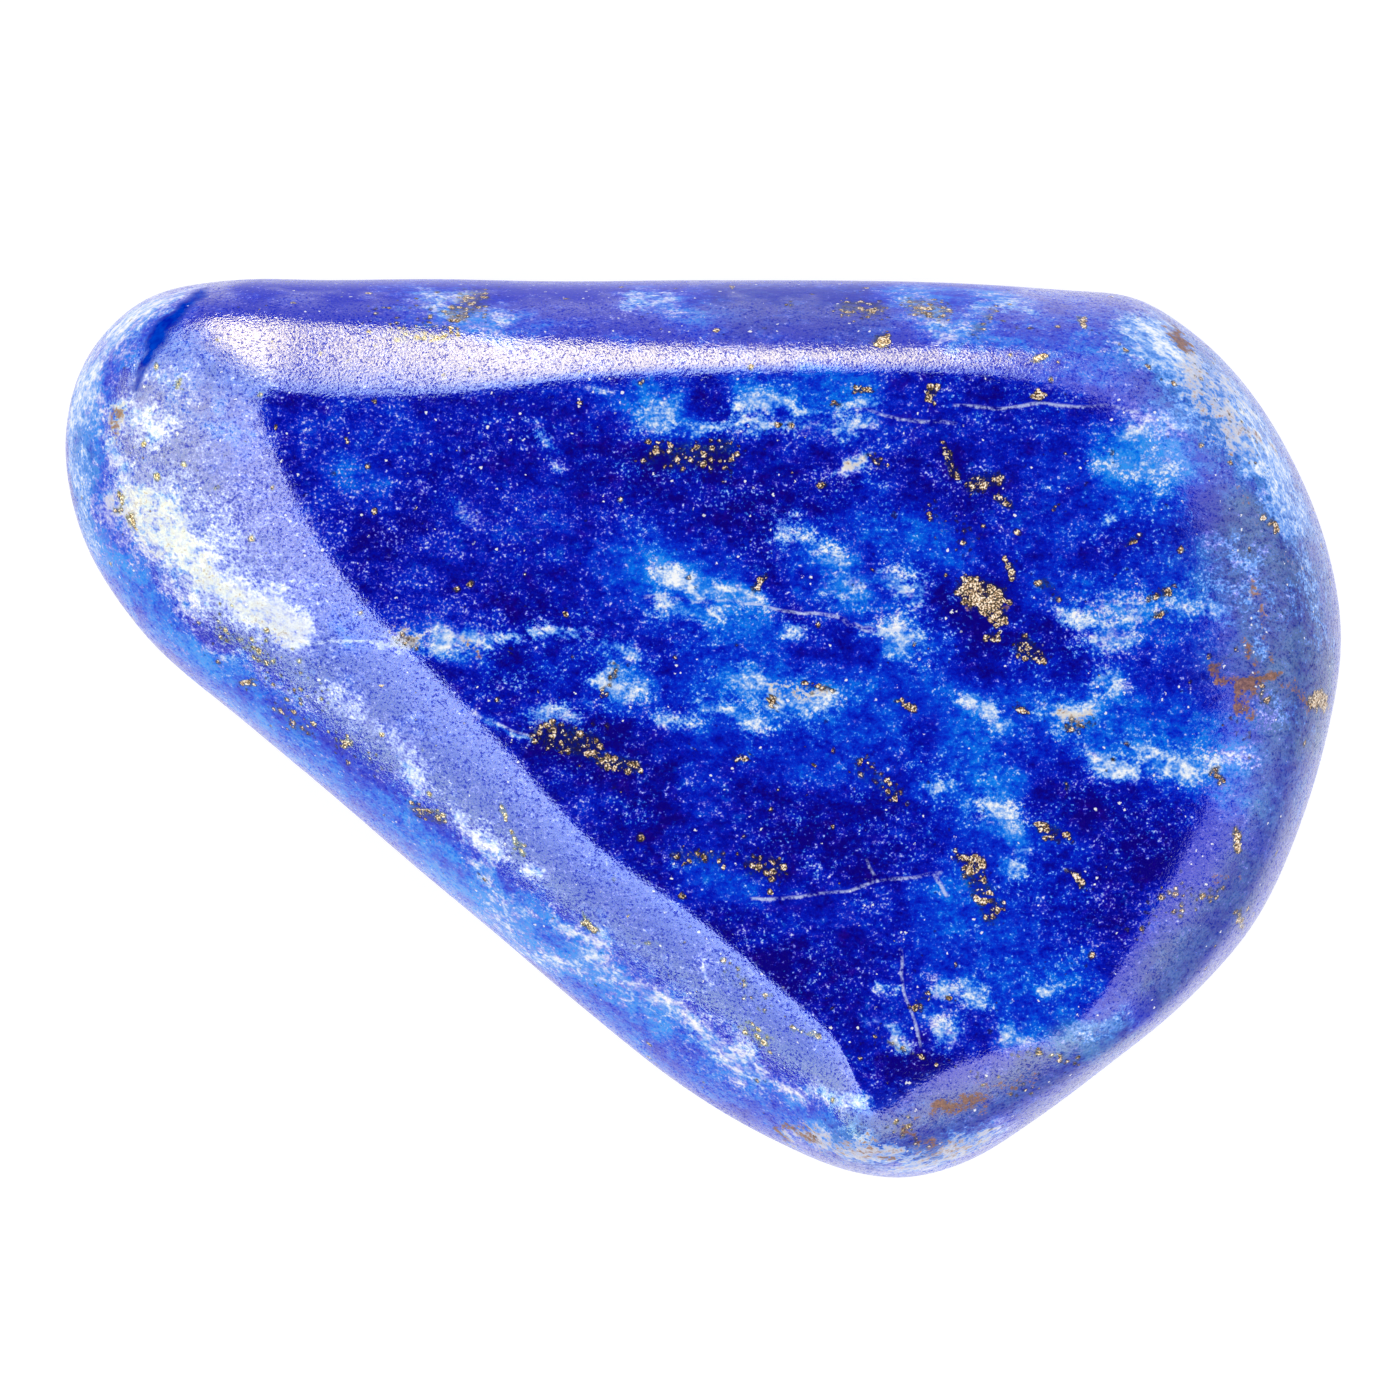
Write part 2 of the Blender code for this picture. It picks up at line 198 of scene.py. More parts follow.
# Duller, greyer rock.
GREY = (
    (70, 400, 80, 540, 0.4, 0.5), (1180, 350, 1310, 520, 1.3, 0.8), (1260, 540, 1310, 720, 1.5, 1.3), (1300, 740, 1270, 820, 0.8, 0.9),
    (1252, 870, 1156, 985, 0.62, 1.0), (1120, 1036, 970, 1112, 0.55, 0.9), (960, 1120, 860, 1150, 0.8, 0.9),
    (730, 300, 850, 310, 0.8, 0.4),
)

# Thin calcite veins.
VEINS = (
    (755, 605, 800, 612), (800, 612, 840, 617), (840, 617, 890, 632), (870, 412, 905, 420), (905, 420, 950, 423),
    (957, 407, 1000, 410), (1000, 410, 1040, 405), (1040, 405, 1075, 406), (1075, 406, 1100, 404),
    (1100, 404, 1135, 410), (755, 898, 800, 895), (800, 895, 845, 892), (845, 892, 880, 882), (880, 882, 935, 872),
    (868, 865, 877, 882), (935, 875, 943, 892), (903, 955, 905, 990), (905, 990, 917, 1040), (300, 643, 385, 640),
    (650, 598, 700, 600), (700, 600, 755, 605), (475, 715, 530, 735), (850, 624, 875, 631), (875, 631, 905, 630),
)

# Grains of pyrite: where they crowd, how wide and how densely.
PYRITE = (
    (655, 455, 725, 455, 0.45, 0.68), (642, 383, 642, 383, 0.10, 1), (743, 415, 743, 415, 0.08, 1),
    (838, 403, 838, 403, 0.10, 1), (855, 388, 868, 392, 0.10, 0.9), (868, 455, 883, 466, 0.12, 0.9),
    (825, 485, 825, 485, 0.12, 1), (943, 448, 952, 475, 0.16, 0.8), (970, 485, 1000, 480, 0.28, 0.8),
    (1000, 497, 1015, 508, 0.14, 0.8), (935, 515, 970, 540, 0.35, 0.45), (1050, 510, 1050, 510, 0.10, 1),
    (765, 577, 755, 590, 0.12, 1), (875, 572, 875, 572, 0.10, 1), (948, 575, 948, 575, 0.12, 1),
    (972, 588, 994, 600, 0.38, 1.0), (984, 608, 1004, 622, 0.20, 1.0), (992, 640, 1000, 640, 0.10, 1),
    (1020, 646, 1036, 656, 0.24, 0.85),
    (1005, 562, 1010, 578, 0.12, 0.9), (1040, 580, 1058, 595, 0.20, 0.7), (1108, 563, 1112, 572, 0.14, 1),
    (1155, 593, 1172, 590, 0.18, 0.8), (1155, 618, 1155, 618, 0.12, 1), (1135, 541, 1135, 541, 0.08, 1),
    (773, 700, 773, 700, 0.18, 1.2), (803, 685, 828, 690, 0.10, 0.9), (898, 700, 915, 710, 0.14, 0.9),
    (907, 675, 907, 675, 0.08, 1), (737, 648, 737, 648, 0.08, 1), (510, 653, 510, 653, 0.10, 1),
    (617, 668, 605, 695, 0.12, 0.7), (545, 735, 590, 745, 0.42, 0.75), (600, 760, 635, 766, 0.22, 0.8),
    (697, 750, 697, 750, 0.10, 1), (735, 762, 752, 757, 0.10, 0.9), (813, 763, 813, 763, 0.10, 1),
    (860, 768, 900, 800, 0.28, 0.6), (675, 855, 720, 860, 0.25, 0.6), (755, 865, 775, 870, 0.32, 0.7),
    (958, 858, 978, 864, 0.18, 0.9), (972, 872, 992, 915, 0.34, 0.75), (1043, 828, 1068, 840, 0.20, 0.8),
    (1065, 785, 1065, 785, 0.12, 1), (1078, 873, 1083, 882, 0.14, 1), (1020, 708, 1028, 712, 0.12, 1),
    (1068, 727, 1095, 725, 0.14, 0.7), (1213, 772, 1222, 782, 0.12, 1), (912, 1008, 928, 995, 0.14, 0.7),
    (875, 1035, 935, 1068, 0.12, 0.6), (455, 312, 480, 298, 0.30, 0.7), (400, 333, 450, 335, 0.30, 0.6),
    (380, 320, 480, 300, 0.5, 0.35), (735, 290, 735, 290, 0.08, 1), (790, 305, 790, 305, 0.08, 1),
    (845, 308, 875, 308, 0.28, 0.7), (875, 340, 882, 340, 0.18, 1.1), (912, 308, 943, 312, 0.28, 0.7),
    (975, 333, 995, 310, 0.14, 0.6), (1082, 322, 1082, 322, 0.12, 1.2), (1037, 398, 1037, 398, 0.16, 1.2),
    (1035, 358, 1047, 355, 0.12, 1), (935, 387, 928, 400, 0.12, 1), (212, 617, 310, 700, 0.6, 0.30),
    (222, 630, 267, 660, 0.22, 0.6), (242, 684, 252, 680, 0.12, 0.9), (280, 708, 308, 730, 0.25, 0.6),
    (328, 715, 355, 755, 0.30, 0.35), (342, 743, 352, 740, 0.10, 1), (355, 755, 387, 768, 0.25, 0.4),
    (413, 807, 440, 820, 0.20, 0.7), (500, 802, 506, 815, 0.10, 0.8), (515, 838, 522, 850, 0.12, 0.8), (585, 918, 592, 930, 0.12, 1),
    (640, 942, 683, 945, 0.08, 0.6), (735, 975, 765, 1003, 0.28, 0.45), (745, 1030, 770, 1042, 0.25, 0.6),
    (790, 1028, 820, 1035, 0.10, 0.8), (176, 382, 179, 386, 0.10, 1), (186, 390, 186, 390, 0.10, 1), (257, 393, 257, 393, 0.08, 1),
    (120, 492, 122, 500, 0.10, 1), (130, 518, 134, 526, 0.12, 1), (118, 508, 118, 508, 0.08, 1), (147, 443, 147, 443, 0.08, 1), (218, 488, 218, 488, 0.08, 1),
    (277, 427, 277, 427, 0.08, 1), (348, 438, 348, 438, 0.08, 1), (385, 638, 412, 645, 0.20, 0.6),
    (1015, 1052, 1078, 1062, 0.12, 0.6), (1170, 893, 1140, 935, 0.10, 0.5), (1235, 915, 1240, 925, 0.12, 1),
    (1165, 905, 1220, 885, 0.35, 0.5), (1235, 830, 1240, 850, 0.12, 1), (1262, 515, 1278, 528, 0.10, 1.2), (1235, 653, 1190, 685, 0.08, 0.6),
    (1262, 697, 1268, 702, 0.12, 1.2), (1318, 698, 1325, 705, 0.22, 1.1), (1232, 718, 1253, 750, 0.25, 0.4),
    (975, 1080, 1030, 1085, 0.30, 0.4), (900, 1120, 920, 1140, 0.25, 0.5), (1190, 330, 1260, 440, 0.6, 0.25),
)

# Brown iron stains.
RUST = (
    (135, 500, 200, 572, 0.70, 0.25), (200, 575, 288, 630, 0.50, 0.27), (835, 1154, 990, 1150, 0.40, 0.45), (395, 635, 410, 640, 0.20, 0.50),
    (845, 460, 866, 462, 0.20, 0.35), (770, 685, 815, 690, 0.30, 0.35), (1055, 715, 1090, 725, 0.25, 0.40),
    (980, 600, 1000, 612, 0.30, 0.50), (460, 640, 475, 645, 0.10, 0.60), (1190, 360, 1240, 450, 0.50, 0.30),
    (114, 405, 124, 445, 0.16, 0.95), (1222, 665, 1240, 715, 0.12, 1.1), (1243, 640, 1266, 685, 0.11, 1.0),
    (1232, 690, 1278, 684, 0.14, 1.1), (1247, 578, 1285, 655, 0.09, 0.95), (1166, 318, 1192, 348, 0.16, 1.2),
    (1195, 432, 1215, 438, 0.12, 0.7), (1255, 438, 1262, 442, 0.10, 0.7), (935, 1108, 980, 1102, 0.24, 0.9),
    (975, 1085, 1030, 1082, 0.20, 0.5), (905, 1120, 922, 1142, 0.16, 0.8), (788, 1130, 812, 1145, 0.18, 0.9),
    (890, 1166, 896, 1168, 0.08, 0.9), (1202, 880, 1238, 882, 0.12, 0.6), (1200, 420, 1290, 560, 0.25, 0.35),
    (1290, 690, 1325, 705, 0.16, 0.8),
)

# The hidden underside carries the same rock: seeded clouds, dark patches and grains.
chance = np.random.default_rng(7)
below = 1 - upper_side


def scattered(number, reach, flat, strength):
    """Seeded lens-shaped marks through the stone's lower half, this wide and this much flatter than wide."""
    field = np.zeros(count)
    for _ in range(number):
        centre = np.array((chance.uniform(-15, 15), chance.uniform(-11, 11), chance.uniform(-1, 6)))
        size = reach * chance.uniform(0.4, 1.3)
        away = (points - centre) / np.array((size, size * 0.6, size * flat))
        away = np.linalg.norm(away, axis=1)
        fade = np.clip(1.6 - away, 0, 1)
        field = np.maximum(field, fade * fade * (3 - 2 * fade) * strength * chance.uniform(0.6, 1))
    return field * below


# Patches with denser pale violet flecks on the table, and on the west, south-west and east bevels pale violet painted
# sheen for the light that they reflect: from, to, half width and strength.
FLECKS_AND_SHEEN = (
    (350, 430, 480, 450, 1.2, 0.5), (380, 510, 430, 600, 1.6, 1.0), (470, 480, 500, 520, 0.8, 0.7),
    (560, 470, 620, 540, 0.8, 0.3), (830, 470, 900, 480, 0.6, 0.6), (920, 430, 1010, 480, 0.8, 0.4),
    (1060, 610, 1210, 640, 0.9, 0.6), (1140, 930, 1230, 860, 0.9, 0.9),
    (230, 380, 300, 600, 1.6, 1.5), (330, 660, 560, 850, 1.0, 1.0), (620, 900, 780, 1010, 0.8, 0.8),
    (1250, 540, 1280, 760, 1.0, 0.7), (960, 1090, 1060, 1060, 0.6, 0.7), (300, 440, 340, 540, 0.6, 0.5), (860, 570, 900, 600, 0.8, 0.4),
)

warped = seen + wander
calcite = marked(CALCITE, warped) + scattered(70, 1.5, 0.7, 0.95)
azure = marked(AZURE, warped, 0.4) + scattered(50, 3.0, 0.8, 0.8)
navy = marked(NAVY, warped, 0.3) + scattered(30, 2.5, 0.8, 0.9)
dust = marked(FLECKS_AND_SHEEN, warped, 0.3)
grey = marked(GREY, warped, 0.4)
groove = marked(GROOVE, seen + wander * 0.4, 0.3)
matt = marked(MATT, warped, 0.5)
rust = marked(RUST, warped, 0.4) * upper_side + scattered(12, 0.8, 0.6, 0.8)
pyrite = marked(PYRITE, seen + wander * 0.3, 0.5) * upper_side + scattered(90, 0.6, 0.8, 0.6)
near_vein = np.full(count, 9.0)
across_vein = np.full(count, 9.0)
vein_places = seen + wander * 0.25
for x1, y1, x2, y2 in VEINS:
    away = from_stroke(x1, y1, x2, y2, vein_places)
    length = math.hypot(x2 - x1, y2 - y1)
    across = ((vein_places[:, 0] - x1) * (y2 - y1) - (vein_places[:, 1] - y1) * (x2 - x1)) / length / PIXELS_PER_MM
    across_vein = np.where(away < near_vein, across, across_vein)
    near_vein = np.minimum(near_vein, away)
near_vein = near_vein + below * 9


def keep(name, values):
    """Stores one value for each vertex where the material can read it."""
    fine_mesh.attributes.new(name, "FLOAT", "POINT").data.foreach_set("value", values.astype(np.float32))


keep("calcite", calcite)
keep("azure", azure)
keep("navy", navy)
keep("dust", dust)
keep("side", side)
keep("grey", grey)
keep("rust", rust)
keep("pyrite", pyrite)
keep("near_vein", near_vein)
keep("across_vein", across_vein)
keep("groove", groove)
keep("matt", matt)


class Shade:
    """A socket of a material. Arithmetic on it adds Math nodes."""

    tree = None

    def __init__(self, socket):
        self.socket = socket

    @classmethod
    def node(cls, kind, settings=None, inputs=None, output=0):
        made = cls.tree.nodes.new(kind)
        for name, value in (settings or {}).items():
            if name == "stops":
                ramp = made.color_ramp
                while len(ramp.elements) < len(value):
                    ramp.elements.new(1.0)
                for element, (place, colour) in zip(ramp.elements, value):
                    element.position = place
                    element.color = colour
            else:
                setattr(made, name, value)
        for name, value in (inputs or {}).items():
            if isinstance(value, Shade):
                cls.tree.links.new(value.socket, made.inputs[name])
            else:
                made.inputs[name].default_value = value
        return cls(made.outputs[output])

    def maths(self, operation, *others, clamp=False):
        inputs = dict(enumerate((self, *others)))
        return Shade.node("ShaderNodeMath", {"operation": operation, "use_clamp": clamp}, inputs)

    def __add__(self, other):
        return self.maths("ADD", other)

    def __sub__(self, other):
        return self.maths("SUBTRACT", other)

    def __mul__(self, other):
        return self.maths("MULTIPLY", other)

    def __truediv__(self, other):
        return self.maths("DIVIDE", other)

    def __rsub__(self, other):
        return (self * -1.0) + other

    __radd__ = __add__
    __rmul__ = __mul__

    def most(self, other):
        return self.maths("MAXIMUM", other)

    def also(self, output):
        """Another output of the same node."""
        return Shade(self.socket.node.outputs[output])

    def step(self, low, high):
        """0 below low, 1 above high, smooth between."""
        settings = {"interpolation_type": "SMOOTHSTEP"}
        return Shade.node("ShaderNodeMapRange", settings, {"Value": self, "From Min": low, "From Max": high})

    def blend(self, first, second):
        """The first colour where this is 0 and the second where it is 1."""
        made = Shade.tree.nodes.new("ShaderNodeMix")
        made.data_type = "RGBA"
        Shade.tree.links.new(self.socket, made.inputs[0])
        for socket, colour in ((made.inputs[6], first), (made.inputs[7], second)):
            if isinstance(colour, Shade):
                Shade.tree.links.new(colour.socket, socket)
            else:
                socket.default_value = colour
        return Shade(made.outputs[2])


def srgb(red, green, blue):
    """A colour given in screen values from 0 to 255, as the linear values that the nodes take."""
    linear = [c / 12.92 if c <= 0.04045 else ((c + 0.055) / 1.055) ** 2.4 for c in (red / 255, green / 255, blue / 255)]
    return (*linear, 1.0)


lapis = bpy.data.materials.new("lapis")
lapis.use_nodes = True
Shade.tree = lapis.node_tree
surface = lapis.node_tree.nodes["Principled BSDF"]

# Positions in millimetres, and the same stretched along the rock's faint bedding.
place = Shade.node("ShaderNodeTexCoord", output="Object")
in_mm = Shade.node("ShaderNodeVectorMath", {"operation": "SCALE"}, {0: place, "Scale": 1000.0})
bedding = Shade.node(
    "ShaderNodeMapping", None, {"Vector": in_mm, "Rotation": (0, 0, math.radians(8)), "Scale": (0.75, 1.0, 1.0)}
)


def mottle(vector, size, detail=2.0, roughness=0.55):
    """Cloudy noise about this many millimetres across, from about -1 to 1."""
    inputs = {"Vector": vector, "Scale": 1 / size, "Detail": detail, "Roughness": roughness}
    return Shade.node("ShaderNodeTexNoise", None, inputs) * 3.0 - 1.5


def guide(name):
    return Shade.node("ShaderNodeAttribute", {"attribute_name": name}, output="Fac")


broad = mottle(bedding, 2.4, 2)
middling = mottle(bedding, 0.9, 4, 0.75)
powder = mottle(in_mm, 0.075, 1, 0.8)
tint = mottle(bedding, 0.2, 2, 0.8)
patch = mottle(in_mm, 0.42, 3, 0.75)
cloud = guide("calcite")
dust = guide("dust")

# Lazurite, from navy through ultramarine to azure.
BLUES = (
    (0.00, srgb(10, 0, 128)),
    (0.15, srgb(2, 8, 156)),
    (0.32, srgb(0, 20, 184)),
    (0.46, srgb(0, 40, 203)),
    (0.60, srgb(0, 62, 216)),
    (0.74, srgb(0, 96, 228)),
    (0.88, srgb(8, 124, 238)),
    (1.00, srgb(48, 150, 244)),
)
blueness = 0.30 + guide("azure") * 0.38 + cloud * 0.55 - guide("navy") * 0.24 + broad * 0.20
blueness = blueness + middling * 0.42 + powder * 0.12 + tint * 0.26 - patch * 0.12
# On the bevels the blue is lifted towards azure and its violet and teal are weaker: painted sheen for the light that
# the bevels reflect.
blueness = (blueness + guide("side") * 0.06).most(guide("side") * 0.38)
varied = 1.0 - guide("side") * 0.7
rock = Shade.node("ShaderNodeValToRGB", {"stops": BLUES}, {"Fac": blueness})
violet = (patch + tint * 0.5 - guide("azure") * 0.6 - cloud * 0.5).step(0.05, 1.0)
rock = (violet * varied * 0.5).blend(rock, srgb(46, 0, 148))
teal = (tint * 0.4 + broad * 0.4 - patch).step(0.3, 1.2)
rock = (teal * varied * 0.45).blend(rock, srgb(0, 84, 176))

grey_rock = (middling * 1.0 + tint * 0.8 + 0.5).blend(srgb(4, 32, 128), srgb(68, 104, 168))
rock = (guide("grey") * (middling * 0.3 + 0.68)).blend(rock, grey_rock)

# Calcite: fine flecks everywhere, azure or violet by turns, and clouds where they crowd.
# On the bevels the flecks are spread more evenly: painted sheen.
even = guide("side") * 0.6
speckle = powder * (0.60 + (middling + tint * 0.5).step(-0.6, 0.8) * 0.42 - cloud * 0.54) * (1.0 - even * 0.22)
# The fleck and sheen patches whiten the flecks a little: partly painted sheen.
chalk = cloud * 0.88 + dust * 0.10 + speckle + middling * (0.32 - even * 0.4 + cloud * 0.5)
chalk = chalk + tint * (0.34 + even * 0.2) + even * 0.06 - guide("grey") * 0.20 - 0.08
wisp = mottle(bedding, 0.7, 3, 0.6).maths("ABSOLUTE").step(0.22, 0.0)
chalk = chalk + (wisp - 0.24) * (guide("azure") * 0.5 + cloud).step(0.1, 0.9) * 0.36
AZURE_FLECKS = (
    (0.00, srgb(0, 84, 224)),
    (0.25, srgb(40, 124, 236)),
    (0.45, srgb(104, 160, 242)),
    (0.62, srgb(168, 198, 247)),
    (0.80, srgb(220, 232, 251)),
    (1.00, srgb(250, 252, 255)),
)
VIOLET_FLECKS = (
    (0.00, srgb(44, 10, 184)),
    (0.25, srgb(88, 76, 214)),
    (0.45, srgb(130, 142, 238)),
    (0.62, srgb(186, 192, 245)),
    (0.80, srgb(230, 230, 250)),
    (1.00, srgb(255, 251, 252)),
)
# Flecks are less white on the bevels: painted sheen.
whiteness = chalk * (0.83 - guide("side") * 0.10)
azure_fleck = Shade.node("ShaderNodeValToRGB", {"stops": AZURE_FLECKS}, {"Fac": whiteness})
violet_fleck = Shade.node("ShaderNodeValToRGB", {"stops": VIOLET_FLECKS}, {"Fac": whiteness})
# Flecks lean violet on the bevels and in the fleck and sheen patches: partly painted sheen.
fleck = patch * 0.8 + tint * 0.6 + broad * 0.2 + dust * 0.5 + guide("side") * 0.4 - cloud * 0.4
fleck = (fleck - guide("azure") * 0.5 - guide("grey") * 0.5).step(-0.45, 0.3)
cream = (guide("rust") * 2.0 + tint * 0.3).step(0.2, 0.7) * chalk.step(0.3, 0.9) * guide("rust").step(0.05, 0.3)
# Cream turns lavender on the bevels: painted sheen.
cream_colour = guide("side").blend(srgb(226, 218, 208), srgb(198, 196, 212))
calcite_colour = (cream * 0.8).blend(fleck.blend(azure_fleck, violet_fleck), cream_colour)
rock = chalk.step(0.06, 0.62).blend(rock, calcite_colour)
groove_colour = (patch + tint * 0.5).step(-0.8, 0.8).blend(srgb(0, 20, 172), srgb(0, 72, 206))
rock = (guide("groove") + tint * 0.25).step(0.2, 0.7).blend(rock, groove_colour)

# Thin veins of calcite.
across = guide("across_vein") + powder * 0.015 + tint * 0.02
thread = across.maths("ABSOLUTE").step(0.06, 0.015) * guide("near_vein").step(0.2, 0.1)
thread = thread * (middling + tint * 0.8 + powder * 0.6).step(-0.6, 0.6)
rock = (thread * 0.7).blend(rock, srgb(206, 216, 248))

# Iron stains.
stained = (guide("rust") * 0.95 + middling * 0.4 + tint * 0.7 + powder * 0.4).step(0.45, 1.0)
stained = stained * guide("rust").step(0.05, 0.35)
iron = (powder * 0.6 + tint * 0.4 + 0.5).blend(srgb(84, 52, 38), srgb(166, 118, 84))
rock = (stained * 0.9).blend(rock, iron)

# Pyrite: small grains with dark borders, crowded in places and single elsewhere.
crowd = guide("pyrite")
grains = Shade.node("ShaderNodeTexVoronoi", None, {"Vector": in_mm, "Scale": 1 / 0.17}, "Distance")
kind = Shade.node("ShaderNodeSeparateColor", None, {"Color": grains.also("Color")})
ragged = grains + powder * 0.26 + tint * 0.16
size = (crowd * 1.15 - 0.02 - kind * 0.9).most((0.010 - kind) * 60.0) * 0.85
lump = crowd * 1.1 + powder * 0.28 + tint * 0.34 + patch * 0.12
metal = (size - ragged).step(-0.04, 0.05).most(lump.step(0.98, 1.06))
border = (size * 1.3 - ragged).step(-0.30, 0.0).most(lump.step(0.66, 0.98))
gloom = (crowd + middling * 0.6 + tint * 0.3).step(0.35, 1.2) * crowd.step(0.05, 0.3)
rock = (gloom * 0.65).blend(rock, srgb(2, 40, 92))
rock = (border * 0.7).blend(rock, srgb(30, 24, 34))
mote = ragged.step(0.20, 0.10) * kind.also("Green").step(0.060, 0.050)
rock = (mote * 0.9).blend(rock, srgb(244, 244, 250))
# Each grain runs by fine noise from near black through brass to cream: brass is the pyrite's own colour, while the
# near-black and cream ends are painted reflection and painted glints.
painted_glint = mottle(in_mm, 0.05, 1)
BRASS_AND_GLINT = (
    (0.00, srgb(34, 26, 24)),
    (0.22, srgb(112, 84, 56)),
    (0.42, srgb(190, 152, 112)),
    (0.60, srgb(232, 204, 172)),
    (0.80, srgb(255, 244, 230)),
)
brass_and_glint = Shade.node("ShaderNodeValToRGB", {"stops": BRASS_AND_GLINT}, {"Fac": painted_glint * 1.0 + tint * 0.40 + 0.24 + kind.also("Blue") * 0.22})
rock = metal.blend(rock, brass_and_glint)

# The polish, broken by fine pits that don't shine.
relief = mottle(in_mm, 0.06, 1)
polish = Shade.node("ShaderNodeBump", None, {"Height": relief + tint, "Strength": 1.0, "Distance": 0.0025 * MM}, "Normal")
pits = relief * 0.7 - powder * 0.65 - tint * 0.40 + middling * 0.2
pits = (pits.step(0.0, 0.55) * 0.74).most(guide("groove")).most(guide("matt")).most(stained * 0.8)
Shade.tree.links.new(rock.socket, surface.inputs["Base Color"])
Shade.tree.links.new((0.10 + metal * 0.2).socket, surface.inputs["Roughness"])
Shade.tree.links.new((metal * 0.06).socket, surface.inputs["Metallic"])
Shade.tree.links.new(polish.socket, surface.inputs["Normal"])
surface.inputs["IOR"].default_value = 1.5
unpolished = {"Base Color": rock, "Roughness": 0.8, "Specular IOR Level": 0.0}
dull = Shade.node("ShaderNodeBsdfPrincipled", None, unpolished)
whole = Shade.node("ShaderNodeMixShader", None, {0: pits, 1: Shade(surface.outputs[0]), 2: dull})
Shade.tree.links.new(whole.socket, lapis.node_tree.nodes["Material Output"].inputs["Surface"])

fine_mesh.materials.append(lapis)
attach(stone, "root")
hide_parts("stone")

# The table that it lies on.
# A sheet of white opal acrylic, lit a little from behind, so that no shadow shows round the stone.
bm = bmesh.new()
bmesh.ops.create_circle(bm, cap_ends=True, segments=96, radius=3.0)
sheet_mesh = bpy.data.meshes.new("white_sheet")
bm.to_mesh(sheet_mesh)
bm.free()
sheet = bpy.data.objects.new("white_sheet", sheet_mesh)
scene.collection.objects.link(sheet)
acrylic = bpy.data.materials.new("white_acrylic")
acrylic.use_nodes = True
glow = acrylic.node_tree.nodes["Principled BSDF"]
glow.inputs["Base Color"].default_value = (0.3, 0.3, 0.3, 1.0)
glow.inputs["Roughness"].default_value = 0.9
glow.inputs["Specular IOR Level"].default_value = 0.0
glow.inputs["Emission Color"].default_value = (1.0, 1.0, 1.0, 1.0)
glow.inputs["Emission Strength"].default_value = 0.82
sheet_mesh.materials.append(acrylic)

# The light.
# White cloth hangs all round and is lit from outside: brightest low on the north side, dimmest in the east, and open
# above for the camera. What it adds to the polish depends on the way that the polish faces. Everything else gets
# even light.
world = bpy.data.worlds.new("light_tent")
world.use_nodes = True
world.cycles.sampling_method = "NONE"
Shade.tree = world.node_tree
Shade.tree.nodes.remove(Shade.tree.nodes["Background"])
toward = Shade.node("ShaderNodeSeparateXYZ", None, {0: Shade.node("ShaderNodeTexCoord", output="Generated")}, "X")
bearing = toward.also("Y").maths("ARCTAN2", toward) / (2 * math.pi) + 0.5
zenith = toward.also("Z").maths("ARCCOSINE") * (180 / math.pi)
BRIGHTEST = 30
# Bearing from west through south, east and north, then brightness in red, green and blue.
UPPER_CLOTH = (
    (0.000, 9.6, 10.2, 7.2), (0.060, 9.8, 10.6, 10.0), (0.140, 8.0, 11.2, 15.0), (0.220, 7.2, 8.8, 9.6),
    (0.300, 5.6, 5.2, 4.4), (0.400, 3.8, 3.6, 4.4), (0.460, 2.4, 2.4, 3.4), (0.500, 1.6, 1.7, 2.6),
    (0.600, 2.8, 2.6, 3.0), (0.660, 3.2, 3.0, 3.2), (0.720, 1.8, 2.0, 2.4), (0.757, 8.4, 10.8, 11.4),
    (0.800, 9.0, 12.2, 11.0), (0.880, 5.2, 7.4, 6.8), (1.000, 9.6, 10.2, 7.2),
)
LOWER_CLOTH = (
    (0.000, 9.2, 9.6, 3.4), (0.060, 8.0, 9.6, 4.4), (0.120, 4.2, 5.6, 4.4), (0.180, 4.0, 5.0, 4.4), (0.250, 6.4, 7.0, 4.4),
    (0.320, 6.4, 6.6, 4.0), (0.420, 3.8, 4.0, 3.0), (0.480, 2.4, 2.7, 3.3), (0.600, 3.0, 3.2, 3.2),
    (0.680, 3.0, 3.2, 3.4), (0.725, 2.5, 2.5, 2.5), (0.757, 25.0, 22.6, 10.4), (0.775, 29.0, 26.0, 12.4),
    (0.810, 29.0, 26.0, 11.0), (0.835, 11.0, 11.0, 7.6), (0.870, 5.4, 7.2, 6.2), (1.000, 9.2, 9.6, 3.4),
)
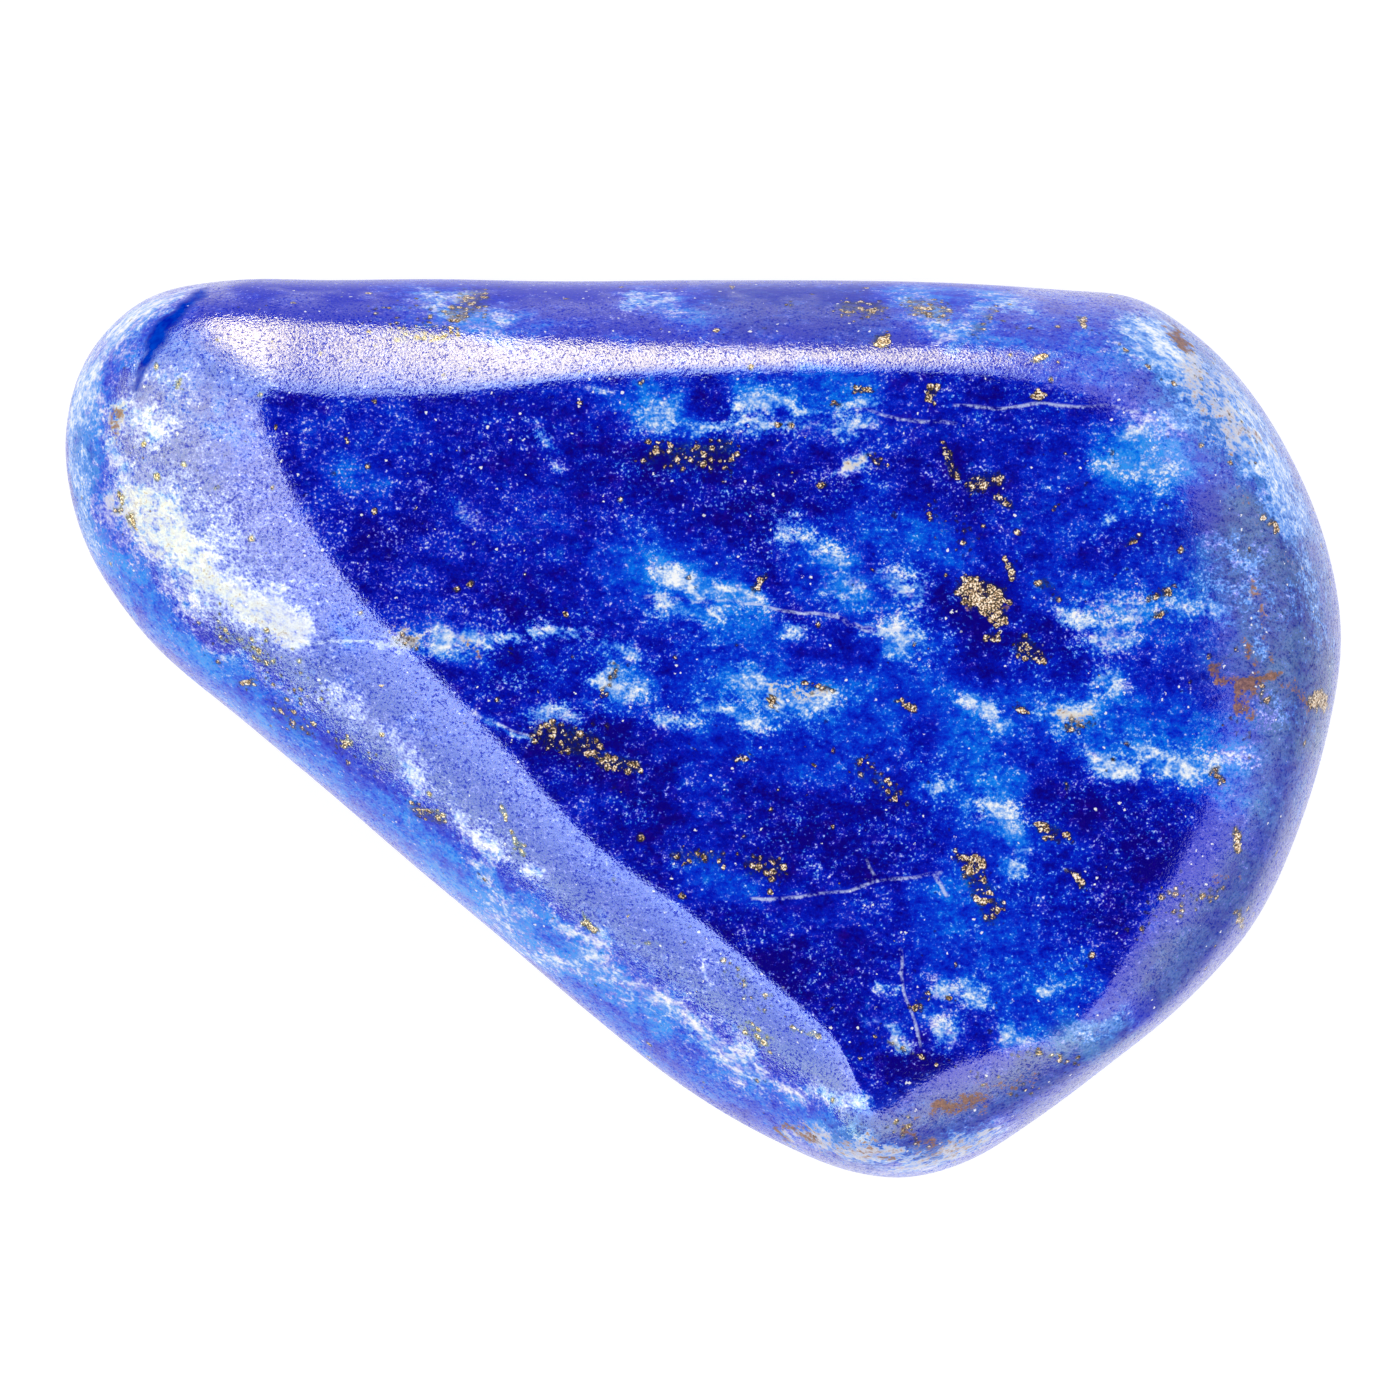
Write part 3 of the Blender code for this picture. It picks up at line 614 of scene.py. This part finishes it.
HORIZON_CLOTH = (
    (0.000, 9.4, 9.8, 3.4), (0.140, 6.4, 8.4, 4.6), (0.220, 3.0, 3.4, 3.6), (0.300, 1.8, 1.8, 2.0),
    (0.420, 1.6, 1.6, 1.9), (0.680, 1.8, 1.8, 2.0), (0.725, 2.0, 2.0, 2.0), (0.757, 25.0, 22.6, 10.4),
    (0.775, 27.0, 24.0, 12.4), (0.810, 27.0, 24.0, 11.0), (0.835, 11.0, 11.0, 7.6), (0.870, 5.4, 7.2, 6.2),
    (1.000, 9.4, 9.8, 3.4),
)


def cloth(stops):
    scaled = [(b, (*(v / BRIGHTEST for v in rgb), 1.0)) for b, *rgb in stops]
    return Shade.node("ShaderNodeValToRGB", {"stops": scaled}, {"Fac": bearing})


mirrored = zenith.step(25, 75).blend(cloth(UPPER_CLOTH), cloth(LOWER_CLOTH))
mirrored = zenith.step(68, 88).blend(mirrored, cloth(HORIZON_CLOTH))
mirrored = zenith.step(17, 26).blend((0, 0, 0, 1), mirrored)
ray = Shade.node("ShaderNodeLightPath", output="Is Glossy Ray")
tent = Shade.node("ShaderNodeBackground", None, {"Color": mirrored, "Strength": float(BRIGHTEST)})
even = Shade.node("ShaderNodeBackground", None, {"Color": (1.0, 1.0, 1.0, 1.0), "Strength": 1.0})
either = Shade.node("ShaderNodeMixShader", None, {0: ray, 1: even, 2: tent})
Shade.tree.links.new(either.socket, Shade.tree.nodes["World Output"].inputs["Surface"])
scene.world = world

# The camera.
# It looks straight down through a long lens, from a metre away.
FIELD_WIDTH = 35
camera = bpy.data.cameras.new("camera")
camera.sensor_width = 36
camera.lens = camera.sensor_width * VIEW_DISTANCE / FIELD_WIDTH
camera.clip_start = 0.1
camera.clip_end = 5.0
viewer = bpy.data.objects.new("camera", camera)
scene.collection.objects.link(viewer)
middle_x = (700 - MIDDLE_PIXEL[0]) / PIXELS_PER_MM
middle_y = (MIDDLE_PIXEL[1] - 700) / PIXELS_PER_MM
viewer.location = (middle_x * MM, middle_y * MM, (WIDEST_HEIGHT + VIEW_DISTANCE) * MM)
scene.camera = viewer
scene.view_settings.view_transform = "Standard"
